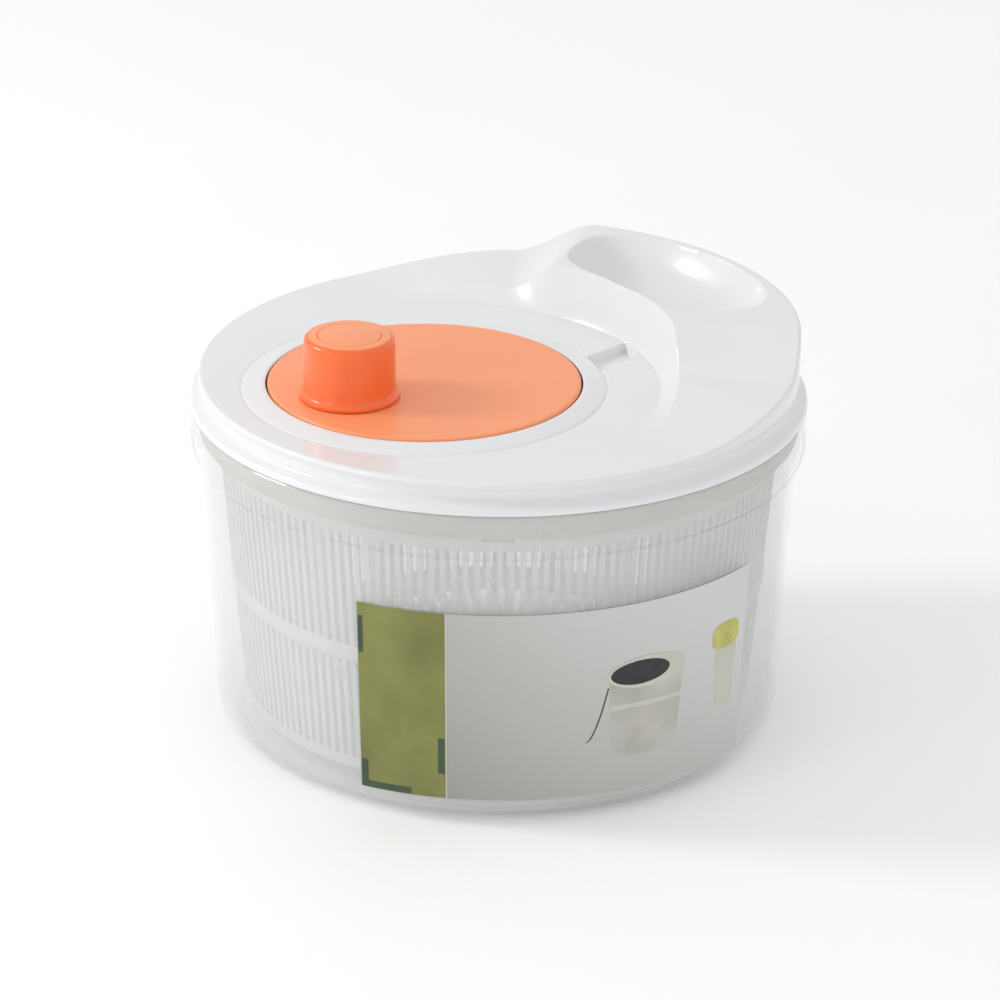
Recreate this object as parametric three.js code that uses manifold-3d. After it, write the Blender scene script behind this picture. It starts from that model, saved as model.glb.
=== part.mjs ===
// Salad spinner: clear bowl, slotted basket, lid with a crank disc and a geared drive.
// Millimetres, +Z up, origin at the centre of the bowl's base.
import * as THREE from "three";
import { mergeVertices } from "three/addons/utils/BufferGeometryUtils.js";
import Module from "manifold-3d";

const wasm = await Module();
wasm.setup();

// ---- driving dimensions ----
const COLLAR_R = 120; // bowl collar, outside
const RIM_Z = 130.5; // top of the bowl
const BOWL_WALL = 2.3;
const FLOOR_R = 99.2; // flat part of the bowl's base
const CORNER_R = 12;
const PLATE_Z = 143; // lid plate, top
const SHELL = 2.2; // lid thickness
const LID_R = 116.8; // lid wall above the bead
const HOLE_R = 61.2; // opening for the crank disc
const AXIS_DEG = 35; // direction of the lid's plane of symmetry
const OFFSET = 35; // crank axis to lid axis
const DISC_R = 60;
const DISC_TOP = 145.5;
const KNOB_RAD = 33; // knob axis to crank axis
const KNOB_DEG = 211;
const KNOB_R = 17.5;
const KNOB_TOP = 170.5;
const HUMP = 13.5; // crescent height, middle part
const HUMP_LOW = 5.5; // crescent height, tails
const MODULE = 2;
const RING_TEETH = 50;
const PINION_TEETH = 15;
const PRESSURE = (20 * Math.PI) / 180;
const SLOTS = 24; // basket wall slots per tier
const BASKET_TOP = 121.9;

const RAD = Math.PI / 180;
const AX = [Math.cos(AXIS_DEG * RAD), Math.sin(AXIS_DEG * RAD)];
const P = [-OFFSET * AX[0], -OFFSET * AX[1]];
const K = [P[0] + KNOB_RAD * Math.cos(KNOB_DEG * RAD), P[1] + KNOB_RAD * Math.sin(KNOB_DEG * RAD)];

// ---- helpers ----
function smooth(a, b, x) {
  const t = Math.min(1, Math.max(0, (x - a) / (b - a)));
  return t * t * (3 - 2 * t);
}

function solid(verts, faces) {
  const g = new THREE.BufferGeometry();
  g.setAttribute("position", new THREE.Float32BufferAttribute(verts.flat(), 3));
  let vol = 0;
  for (const [a, b, c] of faces) {
    const A = verts[a];
    const B = verts[b];
    const C = verts[c];
    vol += A[0] * (B[1] * C[2] - B[2] * C[1]);
    vol += A[1] * (B[2] * C[0] - B[0] * C[2]);
    vol += A[2] * (B[0] * C[1] - B[1] * C[0]);
  }
  const list = vol < 0 ? faces.map(([a, b, c]) => [a, c, b]) : faces;
  g.setIndex(list.flat());
  return g;
}

// Revolves a loop of [r, z] points. Points on the axis become one vertex.
function spin(loop, n, at = [0, 0]) {
  const verts = [];
  const rings = loop.map(([r, z]) => {
    if (r < 1e-9) {
      verts.push([at[0], at[1], z]);
      return [verts.length - 1];
    }
    const ids = [];
    for (let i = 0; i < n; i += 1) {
      const a = (2 * Math.PI * i) / n;
      verts.push([at[0] + r * Math.cos(a), at[1] + r * Math.sin(a), z]);
      ids.push(verts.length - 1);
    }
    return ids;
  });
  const onAxis = loop.some(([r]) => r < 1e-9);
  const faces = [];
  const last = onAxis ? rings.length - 1 : rings.length;
  for (let j = 0; j < last; j += 1) {
    band(faces, rings[j], rings[(j + 1) % rings.length], n);
  }
  return solid(verts, faces);
}

function band(faces, p, q, n) {
  for (let i = 0; i < n; i += 1) {
    const k = (i + 1) % n;
    if (p.length > 1) {
      faces.push([p[i], p[k], q.length > 1 ? q[k] : q[0]]);
    }
    if (q.length > 1) {
      faces.push([p.length > 1 ? p[i] : p[0], q[k], q[i]]);
    }
  }
}

function extrude(outline, holes, z0, z1) {
  const shape = new THREE.Shape(outline.map(([x, y]) => new THREE.Vector2(x, y)));
  for (const hole of holes) {
    shape.holes.push(new THREE.Path(hole.map(([x, y]) => new THREE.Vector2(x, y))));
  }
  const raw = new THREE.ExtrudeGeometry(shape, { depth: z1 - z0, bevelEnabled: false });
  raw.deleteAttribute("normal");
  raw.deleteAttribute("uv");
  raw.translate(0, 0, z0);
  return mergeVertices(raw, 1e-4);
}

function circle(r, n, at = [0, 0]) {
  const out = [];
  for (let i = 0; i < n; i += 1) {
    const a = (2 * Math.PI * i) / n;
    out.push([at[0] + r * Math.cos(a), at[1] + r * Math.sin(a)]);
  }
  return out;
}

function toManifold(g) {
  const src = mergeVertices(g, 1e-5);
  const mesh = new wasm.Mesh({
    numProp: 3,
    vertProperties: new Float32Array(src.attributes.position.array),
    triVerts: new Uint32Array(src.index.array),
  });
  return new wasm.Manifold(mesh);
}

function fromManifold(m) {
  const mesh = m.getMesh();
  const g = new THREE.BufferGeometry();
  g.setAttribute("position", new THREE.Float32BufferAttribute(mesh.vertProperties, 3));
  g.setIndex(Array.from(mesh.triVerts));
  return g;
}

function combine(base, adds, cuts) {
  let m = toManifold(base);
  for (const g of adds) {
    m = m.add(toManifold(g));
  }
  for (const g of cuts) {
    m = m.subtract(toManifold(g));
  }
  return fromManifold(m);
}

// A box along the radial direction at angle deg.
function radialBox(r0, r1, width, z0, z1, deg) {
  const g = new THREE.BoxGeometry(r1 - r0, width, z1 - z0);
  g.deleteAttribute("normal");
  g.deleteAttribute("uv");
  g.translate((r0 + r1) / 2, 0, (z0 + z1) / 2);
  g.rotateZ(deg * RAD);
  return mergeVertices(g, 1e-4);
}

function rod(r, z0, z1, n, at) {
  return spin([[0, z0], [r, z0], [r, z1], [0, z1]], n, at);
}

function ring(r0, r1, z0, z1, n, at) {
  return spin([[r0, z0], [r1, z0], [r1, z1], [r0, z1]], n, at);
}

// ---- bowl ----
function bowlRadius(z) {
  return 111.2 + ((z - 12) * (115.75 - 111.2)) / 87.5;
}

function bowl() {
  const loop = [[0, 0], [FLOOR_R, 0]];
  for (const deg of [30, 60, 90]) {
    const s = Math.sin(deg * RAD);
    loop.push([FLOOR_R + CORNER_R * s, CORNER_R * (1 - Math.cos(deg * RAD))]);
  }
  loop.push([115.75, 99.5], [119, 112.4], [118.6, 112.9], [118.6, 113.8], [COLLAR_R, 115]);
  loop.push([COLLAR_R, RIM_Z], [COLLAR_R - 2.6, RIM_Z], [COLLAR_R - 2.6, 115.6]);
  loop.push([116.3, 112.2], [113.4, 99.3], [111.2 - BOWL_WALL, 13]);
  loop.push([105.8, 5.4], [98, BOWL_WALL], [9, BOWL_WALL], [9, 6], [4.3, 6], [4.3, 3], [0, 3]);
  return spin(loop, 48);
}

function pivotPin() {
  return spin([[0, 3.3], [4, 3.3], [4, 13], [2.6, 14.4], [0, 14.5]], 20);
}

function label() {
  const from = -117.3;
  const to = -33.8;
  const n = 16;
  const verts = [];
  for (let i = 0; i <= n; i += 1) {
    const a = (from + ((to - from) * i) / n) * RAD;
    for (const [z, d] of [[11, 0.15], [89, 0.15], [89, 0.45], [11, 0.45]]) {
      const r = bowlRadius(z) + d;
      verts.push([r * Math.cos(a), r * Math.sin(a), z]);
    }
  }
  const faces = [[0, 1, 2], [0, 2, 3]];
  for (let i = 0; i < n; i += 1) {
    for (let j = 0; j < 4; j += 1) {
      const a = 4 * i + j;
      const b = 4 * i + ((j + 1) % 4);
      faces.push([a, a + 4, b + 4], [a, b + 4, b]);
    }
  }
  const e = 4 * n;
  faces.push([e, e + 2, e + 1], [e, e + 3, e + 2]);
  return solid(verts, faces);
}

// ---- basket ----
function basketRadius(z) {
  return 97.8 + ((z - 10) * (107.6 - 97.8)) / 106;
}

function basket() {
  const loop = [[0, 14.8], [4.3, 14.8], [4.3, 9], [95.4, 9], [basketRadius(11), 11]];
  loop.push([basketRadius(59), 59], [basketRadius(59) + 0.7, 59.5], [basketRadius(62) + 0.7, 62]);
  loop.push([basketRadius(62.5), 62.5], [107.6, 116], [109.5, 118.5], [109.5, BASKET_TOP]);
  loop.push([106, BASKET_TOP], [105.6, 116], [basketRadius(12) - 1.9, 12.6], [94, 11], [8, 11]);
  loop.push([8, 17], [6, 18.5], [0, 18.5]);
  const cuts = [];
  for (let i = 0; i < SLOTS; i += 1) {
    const deg = (360 * (i + 0.5)) / SLOTS;
    cuts.push(radialBox(90, 113, 3.4, 16, 55, deg), radialBox(90, 113, 3.4, 66, 111, deg));
  }
  for (let i = 0; i < 12; i += 1) {
    cuts.push(radialBox(22, 52, 4, 5, 14, 30 * i), radialBox(60, 88, 6, 5, 14, 30 * i + 15));
  }
  for (let i = 0; i < 4; i += 1) {
    cuts.push(radialBox(100, 115, 12, 115.6, 130, 90 * i));
  }
  return combine(spin(loop, 48), [], cuts);
}

// ---- lid ----
function hump(psi) {
  const a = Math.abs(psi);
  return HUMP * (1 - smooth(35, 52, a)) + HUMP_LOW * (1 - smooth(52, 88, a));
}

function lidTop(x, y) {
  const rd = Math.hypot(x - P[0], y - P[1]);
  let psi = Math.atan2(y, x) / RAD - AXIS_DEG;
  psi = ((psi + 540) % 360) - 180;
  const u = x * AX[0] + y * AX[1];
  const v = -x * AX[1] + y * AX[0];
  const turn = Math.atan2(v, u + OFFSET) / RAD;
  let h = hump(psi) * Math.pow(Math.min(1, Math.max(0, (rd - 91) / 7)), 1.2);
  const q = Math.pow(Math.abs((rd - 122.8) / 25), 2.8) + Math.pow(Math.abs((turn - 3.3) / 22.5), 2.8);
  h -= 15.5 * Math.max(0, 1 - Math.pow(q, 1.5));
  const across = (y - 12) * Math.cos(45.5 * RAD) - (x - 44) * Math.sin(45.5 * RAD);
  const along = x * Math.cos(15 * RAD) + y * Math.sin(15 * RAD);
  const length = smooth(72, 73, rd) * (1 - smooth(90.2, 91, rd)) * (along > 20 ? 1 : 0);
  const inside = length * (1 - smooth(54.8, 55.6, along));
  const groove = inside * (1 - smooth(5.8, 6.6, Math.abs(across)));
  const boss = rd < 70 && u < 95 ? 2.2 - (2.0 * (rd - HOLE_R)) / (70 - HOLE_R) : 0;
  return PLATE_Z + Math.max(h, 0) * (1 - groove) - 3.4 * groove + boss * (1 - groove);
}

function under(x, y) {
  const e = 0.5;
  const gx = (lidTop(x + e, y) - lidTop(x - e, y)) / (2 * e);
  const gy = (lidTop(x, y + e) - lidTop(x, y - e)) / (2 * e);
  const z = lidTop(x, y) - SHELL * Math.min(2.2, Math.hypot(1, gx, gy));
  // Stays above the tray's wall and, further out, above its flange.
  return Math.max(z, Math.hypot(x - P[0], y - P[1]) < 72 ? 140.9 : 137.2);
}

// Point where the ray from the crank axis at angle a meets the circle of radius R.
function reach(a, R) {
  const c = Math.cos(a);
  const s = Math.sin(a);
  const b = P[0] * c + P[1] * s;
  return -b + Math.sqrt(b * b - OFFSET * OFFSET + R * R);
}

function lidShell() {
  const turns = [];
  for (let deg = -36; deg <= 36; deg += 4) {
    turns.push(deg);
  }
  for (let deg = 43.2; deg < 320; deg += 7.2) {
    turns.push(deg);
  }
  const n = turns.length;
  const steps = [0, 0.1, 0.16, 0.22, 0.27, 0.305, 0.345, 0.375, 0.4, 0.44, 0.52, 0.64, 0.77, 0.87, 0.935, 1];
  const wall = [[116.5, 141], [117.5, 138.5], [117.5, 135.2], [COLLAR_R, 133.4], [COLLAR_R, 130.8]];
  wall.push([116.6, 130.8], [116.6, 120.5], [114.4, 120.5]);
  const verts = [];
  for (let i = 0; i < n; i += 1) {
    const b = (turns[i] + AXIS_DEG) * RAD;
    const a = Math.atan2(LID_R * Math.sin(b) - P[1], LID_R * Math.cos(b) - P[0]);
    const at = (s) => [P[0] + s * Math.cos(a), P[1] + s * Math.sin(a)];
    const outer = reach(a, LID_R);
    for (const t of steps) {
      const [x, y] = at(HOLE_R + t * (outer - HOLE_R));
      verts.push([x, y, lidTop(x, y)]);
    }
    for (const [r, z] of wall) {
      verts.push([...at(reach(a, r)), z]);
    }
    const inner = reach(a, 114.4);
    for (let j = steps.length - 1; j >= 0; j -= 1) {
      const [x, y] = at(HOLE_R + steps[j] * (inner - HOLE_R));
      verts.push([x, y, under(x, y)]);
    }
  }
  const m = 2 * steps.length + wall.length;
  const faces = [];
  for (let i = 0; i < n; i += 1) {
    for (let j = 0; j < m; j += 1) {
      const a = i * m + j;
      const b = i * m + ((j + 1) % m);
      const c = ((i + 1) % n) * m + j;
      const d = ((i + 1) % n) * m + ((j + 1) % m);
      faces.push([a, c, d], [a, d, b]);
    }
  }
  const bosses = screwSpots().map((s) => rod(4, 136.3, 141.9, 16, s));
  const holes = screwSpots().map((s) => rod(1.5, 130, 141, 12, s));
  return combine(solid(verts, faces), bosses, holes);
}

function screwSpots() {
  return [80, 170, 260, 350].map((deg) => {
    return [P[0] + 69 * Math.cos(deg * RAD), P[1] + 69 * Math.sin(deg * RAD)];
  });
}

function gearTray() {
  const loop = [[3.3, 131], [65, 131], [65, 134], [73, 134], [73, 136], [65, 136], [65, 140.4]];
  loop.push([62.5, 140.4], [62.5, 133.5], [6.5, 133.5], [6.5, 135.6], [3.3, 135.6]);
  const holes = screwSpots().map((s) => rod(1.7, 130, 138, 12, s));
  holes.push(rod(6.3, 128, 138, 20, [0, 0]));
  return combine(spin(loop, 48, P), [], holes);
}

function trayScrew(at) {
  return spin([[0, 131.3], [2.6, 131.3], [3.3, 132], [3.3, 133.7], [1.2, 133.7], [1.2, 140.6], [0, 140.7]], 12, at);
}

function shaftBush() {
  return spin([[4.3, 129.5], [8.2, 129.5], [8.2, 130.7], [6, 130.7], [6, 135.2], [4.3, 135.2]], 20);
}

// ---- crank ----
function crankDisc() {
  const loop = [[0, DISC_TOP], [59.2, DISC_TOP], [59.8, 145.2], [DISC_R, 144.6], [DISC_R, 143.2]];
  loop.push([59.4, 142.7], [9, 142.7], [9, 137], [3.3, 137], [3.3, 144.2], [0, 144.2]);
  const post = rod(5, 144.8, 164, 20, K);
  const bore = rod(1.5, 152, 165, 12, K);
  return combine(spin(loop, 48, P), [post], [bore]);
}

function involute(r, base) {
  const a = Math.acos(Math.min(1, base / r));
  return Math.tan(a) - a;
}

function ringGear() {
  const pitch = (MODULE * RING_TEETH) / 2;
  const base = pitch * Math.cos(PRESSURE);
  const half = (r) => {
    return Math.PI / (2 * RING_TEETH) + 0.15 / pitch + involute(pitch, base) - involute(r, base);
  };
  const inner = [];
  for (let i = 0; i < RING_TEETH; i += 1) {
    const mid = AXIS_DEG * RAD + (2 * Math.PI * i) / RING_TEETH;
    for (const [r, side] of [[48.6, -1], [50.5, -1], [52.3, -1], [52.3, 1], [50.5, 1], [48.6, 1]]) {
      // A space widens towards the crank axis, as a tooth of the mating wheel narrows to its tip.
      const a = mid + side * half(r);
      inner.push([P[0] + r * Math.cos(a), P[1] + r * Math.sin(a)]);
    }
  }
  return extrude(circle(56.5, 60, P), [inner], 135.3, 142.4);
}

function pinion() {
  const pitch = (MODULE * PINION_TEETH) / 2;
  const base = pitch * Math.cos(PRESSURE);
  const half = (r) => {
    return Math.PI / (2 * PINION_TEETH) - 0.15 / pitch + involute(pitch, base) - involute(r, base);
  };
  const outline = [];
  for (let i = 0; i < PINION_TEETH; i += 1) {
    const mid = AXIS_DEG * RAD + (2 * Math.PI * i) / PINION_TEETH;
    const pts = [[12.5, half(base) - 0.015], [13.7, half(base) - 0.02], [15, half(15)], [16, half(16)], [16.8, half(16.8)]];
    for (const [r, h] of pts) {
      outline.push([r * Math.cos(mid - h), r * Math.sin(mid - h)]);
    }
    for (const [r, h] of pts.reverse()) {
      outline.push([r * Math.cos(mid + h), r * Math.sin(mid + h)]);
    }
  }
  return extrude(outline, [circle(4.3, 20)], 135.5, 140.9);
}

function crankAxle() {
  return spin([[0, 129.2], [2.7, 129.2], [3, 129.5], [3, 129.9], [2.3, 129.9], [2.3, 130.9], [3, 130.9], [3, 143.9], [0, 143.9]], 16, P);
}

function knob() {
  const loop = [[5.3, 145.9], [19.3, 145.9], [19.3, 147.2], [18.2, 148], [KNOB_R, 149.2]];
  loop.push([KNOB_R, 168], [17, 169.6], [15.8, KNOB_TOP], [12.3, KNOB_TOP], [12.3, 168.2]);
  loop.push([8, 168.2], [8, 164], [5.3, 164]);
  return spin(loop, 28, K);
}

function knobScrew() {
  return spin([[0, 153], [1.2, 153.6], [1.2, 165.4], [4, 165.4], [4, 166.8], [3, 167.6], [0, 167.6]], 14, K);
}

// ---- drive ----
function driveShaft() {
  const loop = [[0, 128.5], [1.8, 128.5], [1.8, 121.6], [4, 121.6], [4, 141.1], [3, 141.1]];
  loop.push([3, 142], [4, 142], [4, 142.2], [0, 142.3]);
  return spin(loop, 20);
}

function rotorPlate() {
  const loop = [[4.3, 121.6], [10, 121.6], [10, 122.5], [109, 122.5], [110, 123], [110, 124.5]];
  loop.push([14, 124.5], [10.5, 125.5], [10, 128.4], [4.3, 128.4]);
  const dogs = [];
  const holes = [];
  for (let i = 0; i < 4; i += 1) {
    dogs.push(radialBox(103.5, 109, 9, 117.2, 123.6, 90 * i));
  }
  for (let i = 0; i < 6; i += 1) {
    const a = (15 + 60 * i) * RAD;
    holes.push(rod(13, 118, 128, 14, [62 * Math.cos(a), 62 * Math.sin(a)]));
  }
  return combine(spin(loop, 48), dogs, holes);
}

function rotorScrew() {
  return spin([[0, 117.6], [4, 117.6], [5, 118.6], [5, 121.2], [1.5, 121.2], [1.5, 127.6], [0, 128]], 16);
}

// ---- assembly ----
const group = new THREE.Group();
group.name = "salad_spinner";

function put(name, geometry, color, extra = {}) {
  geometry.computeVertexNormals();
  const material = new THREE.MeshStandardMaterial({ color, roughness: 0.35, ...extra });
  const mesh = new THREE.Mesh(geometry, material);
  mesh.name = name;
  group.add(mesh);
}

const CLEAR = { transparent: true, opacity: 0.35, roughness: 0.08 };
const STEEL = { metalness: 1, roughness: 0.3 };
put("bowl", bowl(), 0xd9e2dd, CLEAR);
put("label", label(), 0x8a9656, { roughness: 0.6 });
put("pivot_pin", pivotPin(), 0xb9bcc0, STEEL);
put("basket", basket(), 0xeef1f0, { transparent: true, opacity: 0.8 });
put("lid_shell", lidShell(), 0xf2f4f5, { roughness: 0.2 });
put("gear_tray", gearTray(), 0xe4e6e8);
screwSpots().forEach((s, i) => put(`tray_screw_${i + 1}`, trayScrew(s), 0xb9bcc0, STEEL));
put("shaft_bush", shaftBush(), 0xd8d3c4);
put("crank_disc", crankDisc(), 0xffa279);
put("ring_gear", ringGear(), 0xe9e6dc);
put("crank_axle", crankAxle(), 0xb9bcc0, STEEL);
put("crank_washer", ring(3.3, 8, 135.9, 136.7, 20, P), 0xb9bcc0, STEEL);
put("crank_clip", ring(2.5, 5.6, 130.1, 130.7, 16, P), 0x8f9296, STEEL);
put("knob", knob(), 0xff7a3c);
put("knob_cap", spin([[0, 168.5], [12, 168.5], [12, 170.1], [11.4, 170.5], [0, 170.5]], 32, K), 0xff8a50);
put("knob_washer", ring(1.6, 7.5, 164.3, 165.1, 18, K), 0xb9bcc0, STEEL);
put("knob_screw", knobScrew(), 0xb9bcc0, STEEL);
put("pinion", pinion(), 0xe9e6dc);
put("drive_shaft", driveShaft(), 0xb9bcc0, STEEL);
put("shaft_clip", ring(3.3, 6.5, 141.25, 141.85, 16), 0x8f9296, STEEL);
put("rotor_plate", rotorPlate(), 0xeceeee);
put("rotor_screw", rotorScrew(), 0xb9bcc0, STEEL);

export default group;
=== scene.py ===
import math
import bmesh
import bpy
import numpy as np
from mathutils import Matrix, Vector


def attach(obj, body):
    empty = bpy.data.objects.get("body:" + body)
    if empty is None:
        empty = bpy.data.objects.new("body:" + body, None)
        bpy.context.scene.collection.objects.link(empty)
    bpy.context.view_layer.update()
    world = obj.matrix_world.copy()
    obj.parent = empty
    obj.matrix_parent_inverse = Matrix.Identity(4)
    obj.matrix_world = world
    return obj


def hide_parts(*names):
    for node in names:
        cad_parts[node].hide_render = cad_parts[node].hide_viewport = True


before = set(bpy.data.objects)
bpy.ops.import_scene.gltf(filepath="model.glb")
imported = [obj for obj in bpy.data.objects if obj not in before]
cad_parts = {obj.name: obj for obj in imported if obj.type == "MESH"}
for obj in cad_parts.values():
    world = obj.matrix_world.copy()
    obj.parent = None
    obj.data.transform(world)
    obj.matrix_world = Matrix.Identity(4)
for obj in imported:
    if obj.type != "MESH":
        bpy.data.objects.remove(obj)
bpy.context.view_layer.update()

# Sizes in millimetres. The lid and basket follow the CAD's, apart from small steps for looks.
MM = 0.001
AXIS_DEG = 35  # direction of the lid's plane of symmetry
OFFSET = 35.0  # crank axis to lid axis
KNOB_DEG = 211
KNOB_RADIUS = 33.0  # knob axis to crank axis
LID_R = 116.8
LID_EDGE = 1.4  # rounding of the lid's outer edge
LID_SHELL = 2.2
SKIRT_R = 114.4  # inside of the lid's skirt
PLATE_Z = 143
HOLE_R = 61.2
RING_R = 70  # outside of the raised ring round the disc
SLOPE_BASE = 91  # inner slope of the hump, from the crank axis
SLOPE_CREST = 98
UNDERSIDE_MIN = 136.9  # lowest point of the lid's underside, above the gear tray's flange
HUMP_NEAR = 13.5  # height of the hump over its middle
HUMP_SIDES = 5.5  # and what is left of it at its sides
DISH_DEEP = 15.5  # finger dish
DISH_R = 122.8
DISH_TURN = 3.3
GROOVE_DEEP = 3.4
GROOVE_DEG = 45.5
BOWL_WALL = 2.3
BASKET_WALL = 1.8
BASKET_TOP = 121.9
ROUND = 160  # steps round the bowl and the disc
RIBS = 156  # ribs in each tier of the basket


def heading(deg):
    return np.array([math.cos(math.radians(deg)), math.sin(math.radians(deg))])


AX = heading(AXIS_DEG)
P = -OFFSET * AX  # crank axis
K = P + KNOB_RADIUS * heading(KNOB_DEG)  # knob axis


# ---- materials ----
def plastic(
    name, color, rough, alpha=1.0, vary=0.03, scale=60.0, bump=0.02, grain=900.0,
    coat=0.0, metal=0.0,
):
    """A moulded finish: clouded colour, and a fine grain in its roughness and bump."""
    mat = bpy.data.materials.new(name)
    mat.use_nodes = True
    nt = mat.node_tree
    b = nt.nodes["Principled BSDF"]
    tc = nt.nodes.new("ShaderNodeTexCoord")
    cloud = nt.nodes.new("ShaderNodeTexNoise")
    cloud.inputs["Scale"].default_value = scale
    cloud.inputs["Detail"].default_value = 4
    nt.links.new(tc.outputs["Object"], cloud.inputs["Vector"])
    ramp = nt.nodes.new("ShaderNodeValToRGB")
    ramp.color_ramp.elements[0].position = 0.3
    ramp.color_ramp.elements[1].position = 0.7
    low = [max(0.0, c * (1 - vary)) for c in color]
    high = [min(1.0, c * (1 + vary)) for c in color]
    ramp.color_ramp.elements[0].color = (*low, 1)
    ramp.color_ramp.elements[1].color = (*high, 1)
    nt.links.new(cloud.outputs["Fac"], ramp.inputs["Fac"])
    nt.links.new(ramp.outputs["Color"], b.inputs["Base Color"])
    fine = nt.nodes.new("ShaderNodeTexNoise")
    fine.inputs["Scale"].default_value = grain
    fine.inputs["Detail"].default_value = 3
    nt.links.new(tc.outputs["Object"], fine.inputs["Vector"])
    span = nt.nodes.new("ShaderNodeMapRange")
    span.inputs["To Min"].default_value = rough * 0.85
    span.inputs["To Max"].default_value = rough * 1.2
    nt.links.new(fine.outputs["Fac"], span.inputs["Value"])
    nt.links.new(span.outputs["Result"], b.inputs["Roughness"])
    bm = nt.nodes.new("ShaderNodeBump")
    bm.inputs["Strength"].default_value = bump
    bm.inputs["Distance"].default_value = 0.0004
    nt.links.new(fine.outputs["Fac"], bm.inputs["Height"])
    nt.links.new(bm.outputs["Normal"], b.inputs["Normal"])
    b.inputs["Alpha"].default_value = alpha
    b.inputs["Metallic"].default_value = metal
    b.inputs["Coat Weight"].default_value = coat
    b.inputs["Coat Roughness"].default_value = 0.06
    return mat


WHITE = plastic("white_gloss", (0.8, 0.81, 0.82), 0.24, vary=0.008, scale=25, bump=0.05, coat=0.35)
# Warm grey painted shade for the lid's skirt under its rim, where the bead shades the skirt seen
# through the bowl's collar
SKIRT_PAINTED_SHADE = plastic("skirt_painted_shade", (0.5, 0.5, 0.44), 0.4, vary=0.04, scale=40, bump=0.05)
CLEAR = plastic(
    "clear_plastic", (0.86, 0.885, 0.865), 0.1, alpha=0.3, scale=18, bump=0.06, coat=1.0
)
FROST = plastic("frosted_plastic", (0.9, 0.915, 0.895), 0.34, alpha=0.58, scale=30, bump=0.08)
# Also used on the knob's top as a painted highlight, lighter than the knob's own orange
DISC = plastic("orange_disc", (1.0, 0.345, 0.15), 0.36, scale=20, bump=0.12, grain=1400)
ORANGE = plastic("orange_knob", (1.0, 0.165, 0.03), 0.3, scale=40, bump=0.1, grain=1400, coat=0.2)
ACETAL = plastic("acetal", (0.82, 0.8, 0.73), 0.4, vary=0.04, scale=90, bump=0.1)
STEEL = plastic("steel", (0.62, 0.63, 0.65), 0.32, vary=0.08, scale=300, bump=0.15, metal=1.0)
GREEN = plastic("label_green", (0.215, 0.225, 0.06), 0.55, vary=0.3, scale=28, bump=0.05)
DARK = plastic("label_dark", (0.045, 0.075, 0.045), 0.55, vary=0.2, scale=80)
BEIGE = plastic("label_tub", (0.49, 0.48, 0.43), 0.55, vary=0.16, scale=45)
TUB_DARK = plastic("label_tub_inside", (0.02, 0.025, 0.025), 0.5, vary=0.4, scale=140)
PALE = plastic("label_pale", (0.58, 0.575, 0.5), 0.55, vary=0.05, scale=60)
CAPTOP = plastic("label_cap", (0.52, 0.5, 0.14), 0.55, vary=0.15, scale=110)


def field_material():
    """The label's grey, darker at the lower left."""
    mat = plastic("label_field", (0.42, 0.415, 0.4), 0.5, vary=0.05, scale=20, bump=0.03)
    nt = mat.node_tree
    b = nt.nodes["Principled BSDF"]
    tc = nt.nodes.new("ShaderNodeTexCoord")
    sep = nt.nodes.new("ShaderNodeSeparateXYZ")
    nt.links.new(tc.outputs["Object"], sep.inputs[0])
    high = nt.nodes.new("ShaderNodeMath")
    high.operation = "MULTIPLY_ADD"
    high.inputs[1].default_value = 0.9
    nt.links.new(sep.outputs["Z"], high.inputs[0])
    nt.links.new(sep.outputs["X"], high.inputs[2])
    span = nt.nodes.new("ShaderNodeMapRange")
    span.inputs["From Min"].default_value = -0.02
    span.inputs["From Max"].default_value = 0.15
    nt.links.new(high.outputs[0], span.inputs["Value"])
    ramp = nt.nodes.new("ShaderNodeValToRGB")
    ramp.color_ramp.elements[0].color = (0.335, 0.335, 0.31, 1)
    ramp.color_ramp.elements[1].color = (0.72, 0.725, 0.71, 1)
    nt.links.new(span.outputs["Result"], ramp.inputs["Fac"])
    cloud = nt.nodes.new("ShaderNodeMix")
    cloud.data_type = "RGBA"
    cloud.blend_type = "MULTIPLY"
    cloud.inputs[0].default_value = 0.15
    old = b.inputs["Base Color"].links[0].from_socket
    nt.links.new(ramp.outputs["Color"], cloud.inputs[6])
    nt.links.new(old, cloud.inputs[7])
    nt.links.new(cloud.outputs[2], b.inputs["Base Color"])
    return mat


# ---- mesh helpers, in millimetres ----
def piece(name, verts, faces, mat, body, slot, nodes=(), angle=40):
    """A mesh that rides on a body, takes the finish given and stands for the CAD nodes named, which it
    hides. The slot argument is not used.
    """
    me = bpy.data.meshes.new(name)
    me.from_pydata((np.asarray(verts, float) * MM).tolist(), [], faces)
    me.validate()
    me.update()
    ob = bpy.data.objects.new(name, me)
    bpy.context.collection.objects.link(ob)
    me.materials.append(mat)
    bm = bmesh.new()
    bm.from_mesh(me)
    bmesh.ops.recalc_face_normals(bm, faces=bm.faces)
    bm.to_mesh(me)
    bm.free()
    me.set_sharp_from_angle(angle=math.radians(angle))
    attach(ob, body)
    if nodes:
        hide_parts(*nodes)
    return ob


def shade(ob, mat, where):
    """Gives the faces whose centres pass the test a second material."""
    ob.data.materials.append(mat)
    for face in ob.data.polygons:
        if where(face.center):
            face.material_index = 1


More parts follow.
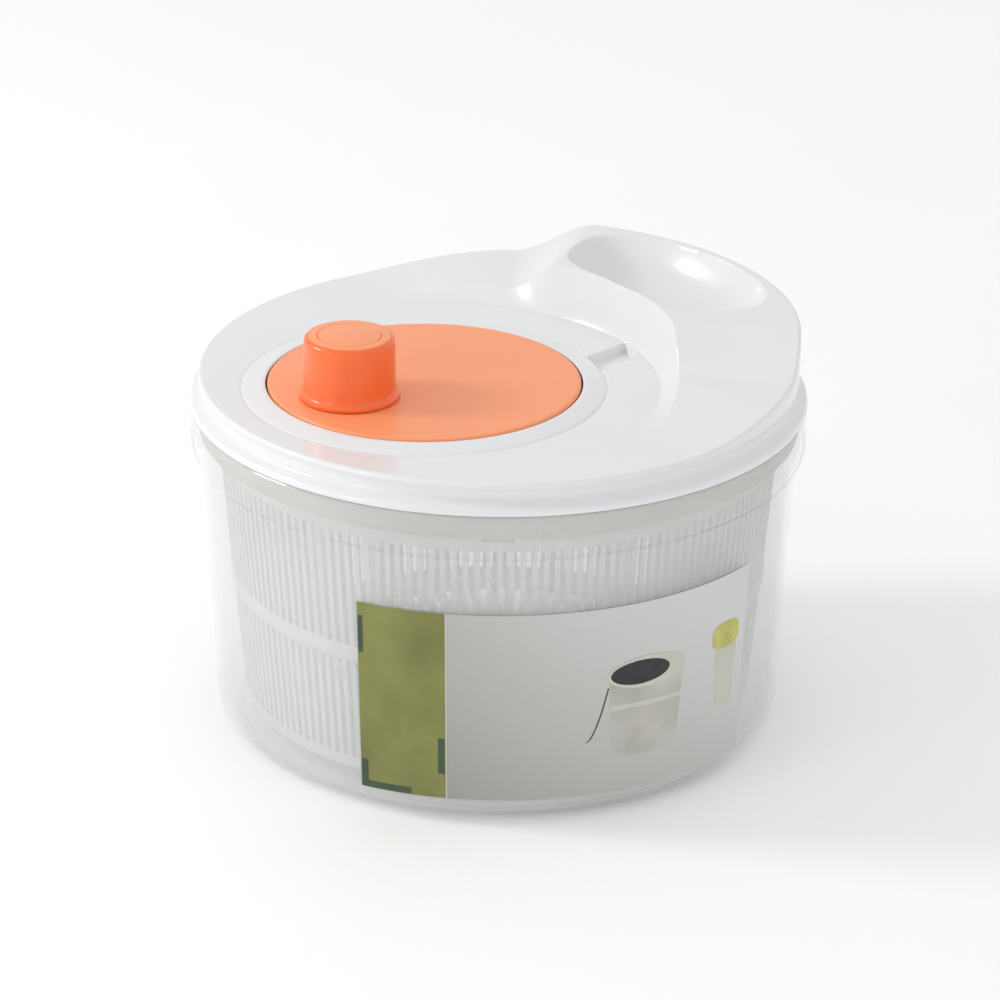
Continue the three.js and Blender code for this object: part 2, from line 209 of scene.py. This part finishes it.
def spin(loop, n, at=(0, 0)):
    """A loop of (r, z) revolved; points with r = 0 become one vertex."""
    verts, rings = [], []
    for r, z in loop:
        if r < 1e-9:
            verts.append((at[0], at[1], z))
            rings.append([len(verts) - 1])
        else:
            start = len(verts)
            for i in range(n):
                a = 2 * math.pi * i / n
                verts.append((at[0] + r * math.cos(a), at[1] + r * math.sin(a), z))
            rings.append(list(range(start, start + n)))
    open_loop = any(len(r) == 1 for r in rings)
    faces = []
    for j in range(len(rings) - 1 if open_loop else len(rings)):
        p, q = rings[j], rings[(j + 1) % len(rings)]
        for i in range(n):
            k = (i + 1) % n
            if len(p) > 1 and len(q) > 1:
                faces.append((p[i], p[k], q[k], q[i]))
            elif len(p) > 1:
                faces.append((p[i], p[k], q[0]))
            elif len(q) > 1:
                faces.append((p[0], q[k], q[i]))
    return verts, faces


def arc(cx, cz, r, a0, a1, n):
    """Points (r, z) along an arc, with its angles in degrees."""
    out = []
    for i in range(n + 1):
        a = math.radians(a0 + (a1 - a0) * i / n)
        out.append((cx + r * math.cos(a), cz + r * math.sin(a)))
    return out


def add(*parts):
    """Several (verts, faces) as one."""
    verts, faces = [], []
    for v, f in parts:
        s = len(verts)
        verts += list(v)
        faces += [tuple(i + s for i in face) for face in f]
    return verts, faces


# ---- lid ----
def smooth(a, b, x):
    t = np.clip((x - a) / (b - a), 0, 1)
    return t * t * (3 - 2 * t)


def lid_top(x, y):
    """Height of the lid's upper surface: plate, raised ring, hump, finger dish and groove."""
    rd = np.hypot(x - P[0], y - P[1])
    psi = np.degrees(np.arctan2(y, x)) - AXIS_DEG
    psi = np.abs((psi + 540) % 360 - 180)
    u = x * AX[0] + y * AX[1]
    v = -x * AX[1] + y * AX[0]
    turn = np.degrees(np.arctan2(v, u + OFFSET))
    tall = HUMP_NEAR * (1 - smooth(35, 52, psi)) + HUMP_SIDES * (1 - smooth(52, 88, psi))
    h = tall * np.clip((rd - SLOPE_BASE) / (SLOPE_CREST - SLOPE_BASE), 0, 1) ** 1.2
    q = np.abs((rd - DISH_R) / 25) ** 2.8 + np.abs((turn - DISH_TURN) / 22.5) ** 2.8
    h = h - DISH_DEEP * np.clip(1 - q**1.5, 0, 1)
    h = np.maximum(h, 0)
    way = heading(GROOVE_DEG)
    across = (y - 12) * way[0] - (x - 44) * way[1]
    along = x * heading(15)[0] + y * heading(15)[1]
    groove = smooth(69.6, 70.6, rd) * (1 - smooth(90.2, 91, rd)) * (along > 20)
    groove = groove * (1 - smooth(54.6, 55.6, along))
    groove = groove * (1 - smooth(5.7, 6.7, np.abs(across)))
    boss = np.where(rd < 70.5, 2.2 - 2.0 * (rd - HOLE_R) / (RING_R - HOLE_R), 0.0)
    boss = np.maximum(boss, 0) - 0.35 * np.exp(-((rd - 70.4) / 0.5) ** 2)
    lip = -0.5 * np.clip((62.0 - rd) / 0.8, 0, 1) ** 2
    return PLATE_Z + h * (1 - groove) - GROOVE_DEEP * groove + (boss + lip) * (1 - groove)


def reach(a, R):
    """Distance from the crank axis, at angle a, to the circle of radius R about the lid's axis."""
    b = P[0] * math.cos(a) + P[1] * math.sin(a)
    return -b + math.sqrt(b * b - OFFSET * OFFSET + R * R)


def lid():
    """One closed section a ray: from the disc's opening over the top, down the wall, back below."""
    near = np.arange(-38, 38.01, 0.4)
    far = np.arange(39.5, 321, 1.5)
    turns = np.radians(np.concatenate([near, far]) + AXIS_DEG)
    fixed = [61.2, 61.5, 62, 63.5, 65.5, 67.5, 69, 69.6, 70, 70.4, 70.8, 71.3]
    fixed += list(np.arange(71.9, 78.01, 0.61))
    inner = 78  # the opening's own steps end here
    wall = [(116.75, 141.6), (116.4, 140.6), (115.7, 139.6), (115.5, 138.6), (115.5, 136.6)]
    wall += [(115.8, 135.5), (116.8, 134.6), (118.2, 134), (119.3, 133.6), (119.9, 132.8)]
    wall += [(120, 131.6), (119.8, 130.95), (119.4, 130.8)]
    wall += [(116.6, 130.8), (116.6, 120.9), (116.2, 120.5), (114.8, 120.5), (SKIRT_R, 120.9)]
    rows = []
    for b in turns:
        a = math.atan2(LID_R * math.sin(b) - P[1], LID_R * math.cos(b) - P[0])
        d = np.array([math.cos(a), math.sin(a)])
        outer = reach(a, LID_R)
        rim = outer - LID_EDGE
        base = min(SLOPE_BASE, inner + 0.35 * (rim - inner))
        crest = min(SLOPE_CREST, inner + 0.6 * (rim - inner))
        slope = [np.linspace(inner, base, 20)[1:], np.linspace(base, crest, 15)[1:]]
        s = np.concatenate([fixed, *slope, np.linspace(crest, rim, 90)[1:]])
        xy = P + s[:, None] * d
        z = lid_top(xy[:, 0], xy[:, 1])
        row = [np.column_stack([xy, z])]
        edge = P + outer * d
        ze = float(lid_top(edge[0], edge[1]))
        for deg in (22, 45, 68, 90):
            t = math.radians(deg)
            q = P + (rim + LID_EDGE * math.sin(t)) * d
            row.append([[q[0], q[1], ze - LID_EDGE + LID_EDGE * math.cos(t)]])
        for R, zz in wall:
            q = P + reach(a, R) * d
            row.append([[q[0], q[1], zz]])
        s = np.linspace(reach(a, SKIRT_R), HOLE_R, 60)
        xy = P + s[:, None] * d
        e = 0.4
        x, y = xy[:, 0], xy[:, 1]
        gx = (lid_top(x + e, y) - lid_top(x - e, y)) / (2 * e)
        gy = (lid_top(x, y + e) - lid_top(x, y - e)) / (2 * e)
        z = lid_top(x, y) - LID_SHELL * np.minimum(2.2, np.sqrt(1 + gx**2 + gy**2))
        z = np.maximum(z, UNDERSIDE_MIN)
        row.append(np.column_stack([xy, z]))
        rows.append(np.vstack(row))
    n, m = len(rows), len(rows[0])
    faces = []
    for i in range(n):
        k = (i + 1) % n
        for j in range(m):
            l = (j + 1) % m
            faces.append((i * m + j, k * m + j, k * m + l, i * m + l))
    return np.vstack(rows), faces


verts, faces = lid()
skin = piece("lid_skin", verts, faces, WHITE, "lid", "white", ["lid_shell"], 50)
# Faces below z 130.8 mm, the skirt under the lid's rim, get the painted shade
shade(skin, SKIRT_PAINTED_SHADE, lambda c: c.z < 0.1308)


# ---- bowl ----
def bowl_r(z):
    return 111.2 + (z - 12) * (115.75 - 111.2) / 87.5


loop = [(0, 0.6), (90, 0.6), (92, 0), (99.2, 0)] + arc(99.2, 12, 12, -80, 0, 10)
loop += [(bowl_r(z), z) for z in (30, 50, 70, 85, 97)]
loop += [(115.95, 101), (116.6, 104.5), (118.6, 111.2)]
loop += [(118.95, 112.4), (118.7, 112.8), (118.45, 113.2), (118.6, 113.9), (119.6, 114.6), (120, 115.4)]
loop += [(120, 129.9), (119.6, 130.45), (118, 130.5), (117.5, 130.2), (117.4, 129.6), (117.4, 115.8)]
loop += [(116.3, 112.2), (114.2, 104.5), (113.5, 99.3)]
loop += [(bowl_r(z) - BOWL_WALL, z) for z in (85, 60, 35, 14)]
loop += arc(98.4, 12.6, 10.3, 0, -90, 8)[1:]
loop += [(9.5, 2.3), (9, 2.8), (9, 5.6), (8.6, 6), (4.3, 6), (4.3, 3), (0, 3)]
piece("bowl_wall", *spin(loop, ROUND), CLEAR, "bowl", "clear", ["bowl"], 35)


# ---- basket: ribs and spokes with real gaps between them, joined by rings ----
def basket_r(z):
    return 99.4 + (z - 10) * (109.2 - 99.4) / 106


def cell(r0, r1, a0, a1, z0, z1, n=1):
    """A curved block between two angles and two heights. A radius is a number or depends on z."""
    verts, faces = [], []
    for i in range(n + 1):
        a = a0 + (a1 - a0) * i / n
        for z, r in ((z0, r0), (z0, r1), (z1, r1), (z1, r0)):
            rr = r(z) if callable(r) else r
            verts.append((rr * math.cos(a), rr * math.sin(a), z))
    for i in range(n):
        for j in range(4):
            a, b = 4 * i + j, 4 * i + (j + 1) % 4
            faces.append((a, b, b + 4, a + 4))
    faces += [(0, 3, 2, 1), tuple(4 * n + j for j in range(4))]
    return verts, faces


def basket():
    """Ribs in two tiers, hoop, foot, floor spokes, hub and a rim with four notches."""
    inner = lambda z: basket_r(z) - BASKET_WALL
    parts = []
    step = 2 * math.pi / RIBS
    for i in range(RIBS):
        a = i * step
        for z0, z1 in ((15, 57), (64, 112)):
            parts.append(cell(inner, basket_r, a, a + 0.5 * step, z0, z1))
    hoop = [(inner(57), 57), (basket_r(57), 57), (basket_r(58) + 0.9, 58.4)]
    hoop += [(basket_r(62) + 0.9, 62.4), (basket_r(64), 64), (inner(64), 64)]
    parts.append(spin(hoop, RIBS))
    foot = [(basket_r(15), 15), (inner(15), 15), (basket_r(12) - 2.2, 13), (93.5, 11.4)]
    foot += [(89, 11), (89, 9), (96.2, 9), (98.2, 9.5), (99.4, 10.8)]
    parts.append(spin(foot, RIBS))
    for r0, r1, count in ((64, 89, 72), (30, 60, 40)):
        for i in range(count):
            a = 2 * math.pi * i / count
            parts.append(cell(r0, r1, a, a + math.pi / count * 1.1, 9, 11, 2))
    parts.append(spin([(60, 9), (64, 9), (64, 11), (60, 11)], 96))
    hub = [(0, 14.8), (4.3, 14.8), (4.3, 9), (30, 9), (30, 11)]
    hub += [(8.5, 11), (8, 12), (8, 17), (6, 18.5), (0, 18.5)]
    parts.append(spin(hub, 64))
    outer = lambda z: basket_r(112) + (z - 112) * 0.05
    gap = math.asin(6 / 107)
    for i in range(4):
        a0 = i * math.pi / 2 + gap
        a1 = (i + 1) * math.pi / 2 - gap
        parts.append(cell(105.6, outer, a0, a1, 116, BASKET_TOP, 36))
        parts.append(cell(107.6, 109.5, a0, a1, 119.2, BASKET_TOP, 36))
    neck = [(inner(112), 112), (basket_r(112), 112), (109, 116), (105.6, 116)]
    parts.append(spin(neck, RIBS))
    return add(*parts)


piece("basket_shell", *basket(), FROST, "basket", "frosted", ["basket"], 30)


# ---- label: patches that follow the bowl, each drawn by its left and right edge at a height ----
def patch(name, z0, z1, edges, lift, mat, rows=24, cols=24, nodes=()):
    """A thin curved sheet, lift mm off the bowl.

    edges(t, z) gives its two sides in degrees from the front.
    """
    verts, faces = [], []
    for side in (lift, lift - 0.06):
        for j in range(rows + 1):
            z = z0 + (z1 - z0) * j / rows
            a0, a1 = edges((z - z0) / (z1 - z0), z)
            for i in range(cols + 1):
                a = math.radians(-90 + a0 + (a1 - a0) * i / cols)
                r = bowl_r(z) + side
                verts.append((r * math.cos(a), r * math.sin(a), z))
    w = cols + 1
    back = w * (rows + 1)
    for j in range(rows):
        for i in range(cols):
            a = j * w + i
            faces.append((a, a + 1, a + 1 + w, a + w))
            faces.append((back + a, back + a + w, back + a + 1 + w, back + a + 1))
    rim = [i for i in range(w)] + [w * j + cols for j in range(1, rows + 1)]
    rim += [w * rows + i for i in range(cols - 1, -1, -1)] + [w * j for j in range(rows - 1, 0, -1)]
    for i, a in enumerate(rim):
        b = rim[(i + 1) % len(rim)]
        faces.append((a, a + back, b + back, b))
    return piece(name, verts, faces, mat, "bowl", "label", nodes, 30)


def oval(mid, half, squash=2.0):
    """Edges of a rounded shape about mid, in degrees."""
    def edges(t, z):
        w = half * max(0.02, 1 - abs(2 * t - 1) ** squash) ** (1 / squash)
        return mid - w, mid + w
    return edges


def tub(t, z):
    """Edges of the tub, narrower and rounded at its foot."""
    w = 8.3 * (0.86 + 0.14 * t) * min(1.0, 0.55 + 0.45 * math.sqrt(min(1, t / 0.16)))
    return 30.2 - w, 30.2 + w


def curl(t, z):
    """Edges of the thin curved line beside the tub."""
    mid = 17.6 + 4.2 * t**0.6
    return mid - 0.16, mid + 0.16


patch("label_field", 10.6, 89, lambda t, z: (-27.2, 56.3), 0.42, field_material(), 12, 90, ["label"])
patch("label_green", 10.7, 88.9, lambda t, z: (-27.1, -9.6), 0.5, GREEN, 12, 24)
patch("label_edge", 10.7, 88.9, lambda t, z: (-9.7, -9.45), 0.56, PALE, 12, 3)
patch("label_mark_1", 10.9, 13.6, lambda t, z: (-27.0, -16.6), 0.56, DARK, 2, 12)
patch("label_mark_2", 10.9, 22.5, lambda t, z: (-27.0, -25.6), 0.58, DARK, 8, 4)
patch("label_mark_3", 68, 83.5, lambda t, z: (-27.0, -26.0), 0.56, DARK, 8, 4)
patch("label_mark_4", 21, 36, lambda t, z: (-11.2, -9.9), 0.56, DARK, 8, 4)
patch("label_tub", 24.5, 60, tub, 0.5, BEIGE, 30, 30)
patch("label_tub_band", 45.0, 47.0, lambda t, z: (22.3, 38.1), 0.56, PALE, 2, 30)
patch("label_tub_rim", 53, 66, oval(30.2, 8.6), 0.58, PALE, 30, 30)
patch("label_tub_mouth", 54.6, 64.6, oval(28.6, 6.4), 0.64, TUB_DARK, 30, 30)
patch("label_curl", 33, 55, curl, 0.5, DARK, 24, 3)
patch("label_bottle", 33, 58, lambda t, z: (47.9 - 0.9 * t, 52.6 + 0.9 * t), 0.5, PALE, 20, 12)
patch("label_bottle_cap", 58, 69, oval(50.0, 4.0, 3.0), 0.56, CAPTOP, 20, 16)

# ---- crank disc and knob ----
loop = [(0, 145.5), (59.1, 145.5)] + arc(59.3, 144.3, 1.2, 80, 0, 5)
loop += [(60.5, 143.3), (60, 142.7), (9, 142.7)]
loop += [(9, 137.4), (8.6, 137), (3.3, 137), (3.3, 144.2), (0, 144.2)]
post = spin([(1.5, 145.2), (5, 145.2), (5, 163.6), (4.6, 164), (1.5, 164)], 40, K)
disc = add(spin(loop, ROUND, P), post)
piece("crank_disc_skin", *disc, DISC, "crank", "orange", ["crank_disc"], 35)
loop = [(5.3, 145.9), (19.2, 145.9), (19.4, 146.3), (19.3, 147.1), (18.9, 147.5), (18.2, 147.9)]
loop += [(17.8, 148.6), (17.6, 150)] + arc(15.3, 168.1, 2.2, 0, 78, 8)
loop += [(12.6, 170.45), (12.3, 170.1), (12.3, 168.2), (8, 168.2)]
loop += [(8, 164), (5.3, 164)]
skin = piece("knob_skin", *spin(loop, 96, K), ORANGE, "knob", "orange", ["knob"], 35)
# The knob's top faces take the disc's lighter orange as a painted highlight where the top faces up to
# the light
shade(skin, DISC, lambda c: c.z > 0.1702)
loop = [(0, 168.5), (12.15, 168.5), (12.2, 170.25), (12.1, 170.42), (11.8, 170.5), (0, 170.5)]
# The cap takes the disc's lighter orange as a painted highlight on the knob's top
piece("knob_cap_skin", *spin(loop, 96, K), DISC, "knob", "orange", ["knob_cap"], 35)

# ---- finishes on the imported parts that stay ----
finish_of = {"gear_tray": WHITE, "rotor_plate": WHITE}
finish_of.update({"shaft_bush": ACETAL, "ring_gear": ACETAL, "pinion": ACETAL})
for name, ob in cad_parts.items():
    ob.data.materials.clear()
    ob.data.materials.append(finish_of.get(name, STEEL))


# ---- stage ----
def stage():
    """A pale floor, an even white sky and three soft lights, the brightest at the left."""
    me = bpy.data.meshes.new("floor")
    s = 6.0
    me.from_pydata([(-s, -s, 0), (s, -s, 0), (s, s, 0), (-s, s, 0)], [], [(0, 1, 2, 3)])
    floor = bpy.data.objects.new("floor", me)
    bpy.context.collection.objects.link(floor)
    paper = plastic("floor_paper", (0.93, 0.93, 0.93), 0.75, vary=0.01, scale=4, bump=0.03)
    shader = paper.node_tree.nodes["Principled BSDF"]
    shader.inputs["Emission Color"].default_value = (1, 1, 1, 1)
    shader.inputs["Emission Strength"].default_value = 0.1
    me.materials.append(paper)
    world = bpy.data.worlds.new("studio")
    world.use_nodes = True
    bg = world.node_tree.nodes["Background"]
    bg.inputs["Color"].default_value = (1, 1, 1, 1)
    bg.inputs["Strength"].default_value = 0.79
    bpy.context.scene.world = world
    area("key", (-1.35, 0.08, 0.92), 0.36, 8)
    area("side", (-1.3, -1.1, 0.5), 0.3, 2)
    area("front", (0.5, -1.6, 1.0), 1.2, 0.8)


def area(name, at, size, power):
    """An area light aimed at the middle of the spinner."""
    data = bpy.data.lights.new(name, "AREA")
    data.size = size
    data.energy = power
    ob = bpy.data.objects.new(name, data)
    ob.location = at
    ob.rotation_euler = (Vector((0, 0, 0.12)) - Vector(at)).to_track_quat("-Z", "Y").to_euler()
    bpy.context.collection.objects.link(ob)


def camera():
    """A long lens, looking down at the front from 2.16 m."""
    tilt, far, roll = 0.402, 2.15775, 0.008
    target = Vector((0.0008, 0, 0.0869))
    forward = Vector((0, math.cos(tilt), -math.sin(tilt)))
    level = Vector((1, 0, 0))
    over = level.cross(forward)
    right = math.cos(roll) * level + math.sin(roll) * over
    up = right.cross(forward)
    data = bpy.data.cameras.new("camera")
    data.sensor_width = 36
    data.lens = 198
    data.clip_end = 100
    ob = bpy.data.objects.new("camera", data)
    rot = Matrix((right, up, -forward)).transposed().to_4x4()
    ob.matrix_world = Matrix.Translation(target - forward * far) @ rot
    bpy.context.collection.objects.link(ob)
    bpy.context.scene.camera = ob


stage()
camera()
bpy.context.scene.view_settings.view_transform = "Standard"
bpy.context.scene.cycles.transparent_max_bounces = 24
